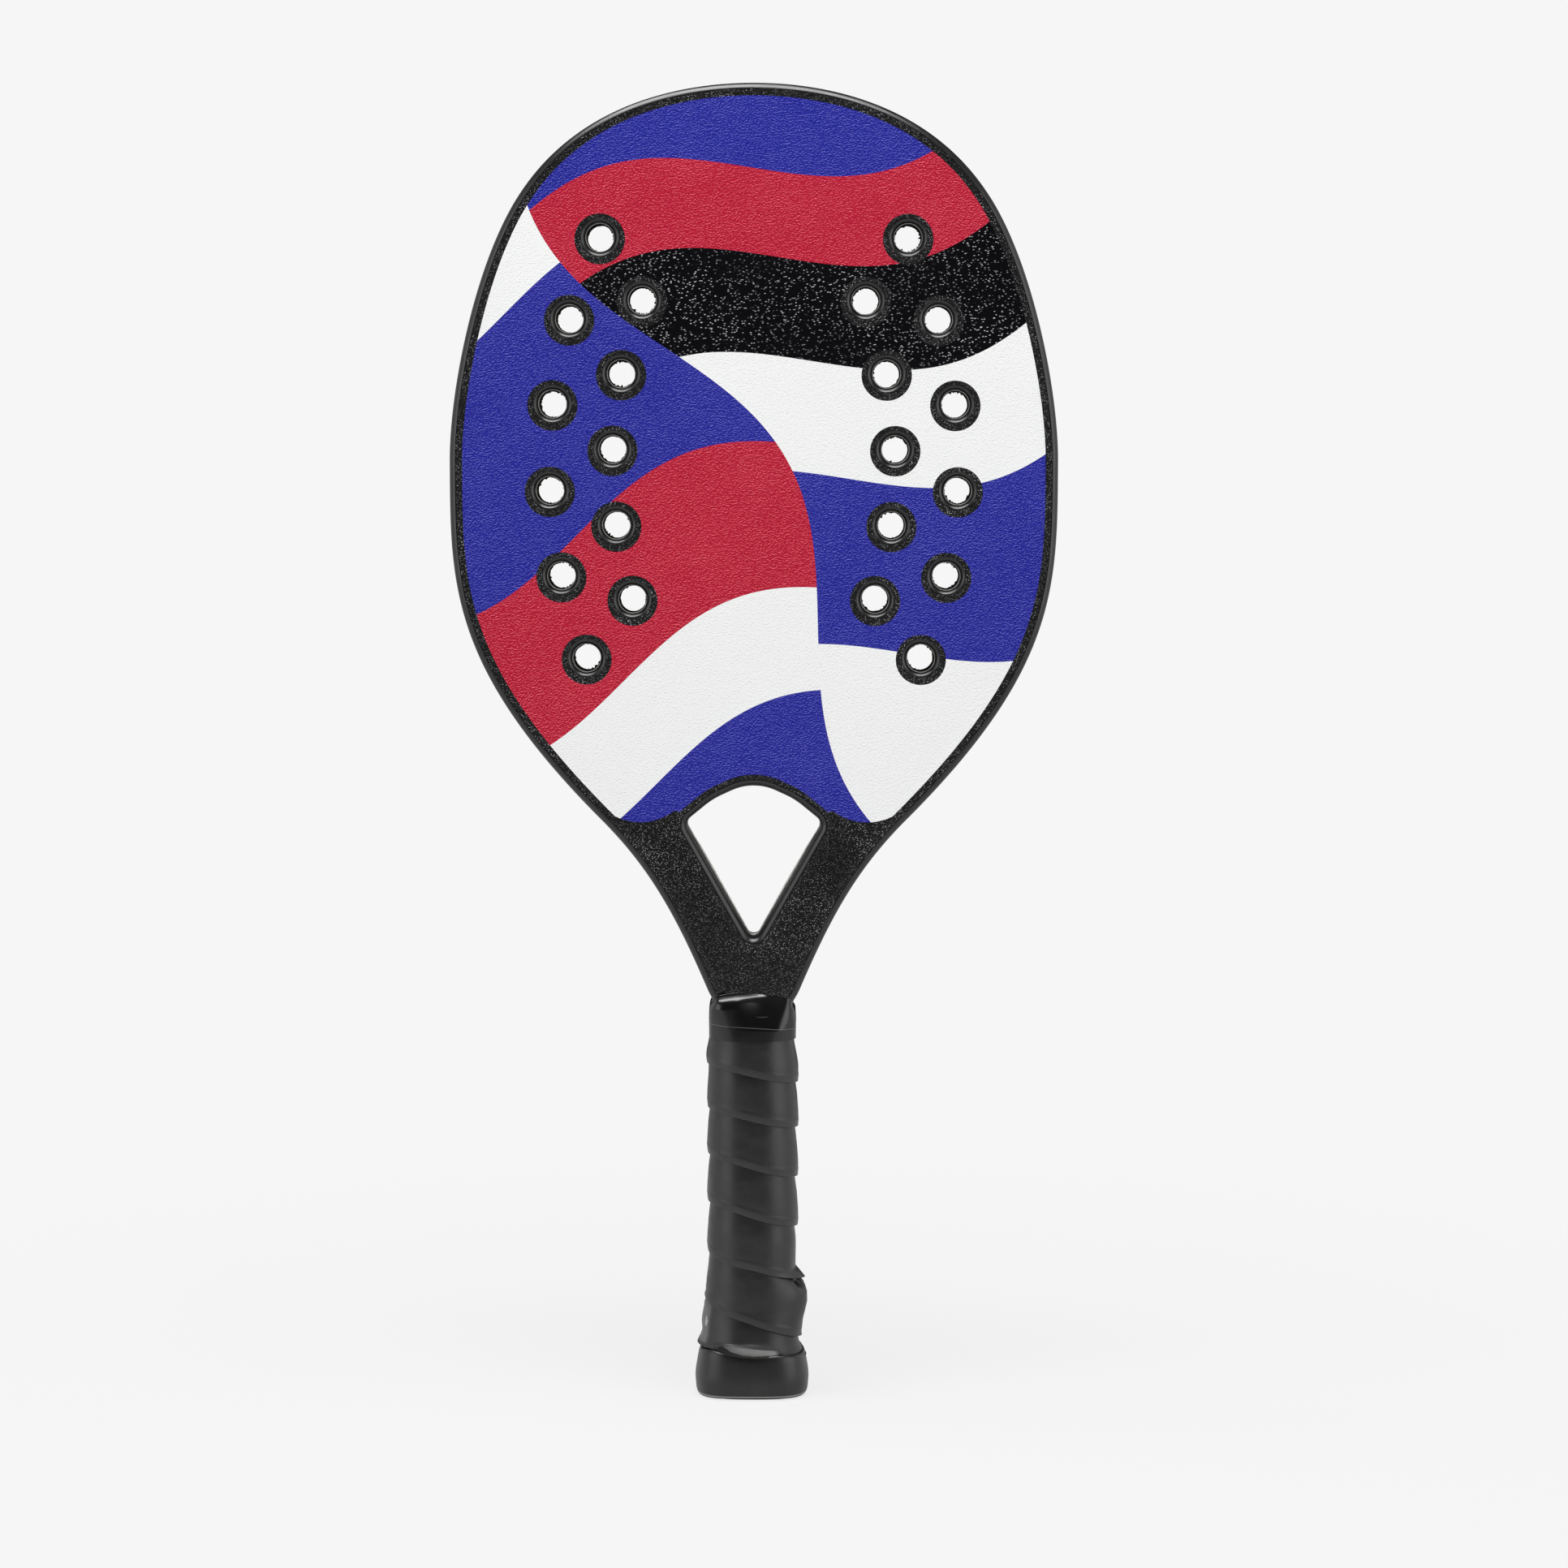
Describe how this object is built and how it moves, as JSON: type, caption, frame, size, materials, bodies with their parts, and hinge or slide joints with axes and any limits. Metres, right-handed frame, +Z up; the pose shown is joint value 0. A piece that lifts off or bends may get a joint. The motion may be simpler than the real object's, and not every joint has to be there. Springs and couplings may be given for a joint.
{
  "type": "beach tennis racket",
  "caption": "Perforated foam-core paddle with an egg-shaped head, a throat window and a short wound grip on a flared butt cap.",
  "frame": {"origin": "centre of the butt's flat base, in the middle plane of the racket", "axes": "+Z up the handle to the crown, X across the face, front face towards -Y"},
  "size_m": [0.23, 0.038, 0.5],
  "materials": {
    "frame_lacquer": "satin black lacquer on a moulded fibre composite",
    "foam_core": "closed-cell EVA foam",
    "printed_face": "printed composite sheet with a fine rough clear coat",
    "handle_foam": "rigid moulded polyurethane foam",
    "start_tape": "ribbed adhesive fibre tape",
    "grip_strip": "matt dark grey polyurethane grip strip",
    "finishing_film": "glossy black adhesive film",
    "cap_rubber": "moulded matt rubber-like plastic"
  },
  "bodies": {
    "root": {"frame_tube": "frame_lacquer", "throat_bridge": "frame_lacquer", "eva_core": "foam_core", "front_face_sheet": "printed_face", "rear_face_sheet": "printed_face", "handle_pallet_front": "handle_foam", "handle_pallet_rear": "handle_foam", "grip_start_tape": "start_tape", "base_grip": "grip_strip", "finishing_tape": "finishing_film", "butt_cap": "cap_rubber", "butt_end_plate": "cap_rubber"}
  },
  "joints": []
}
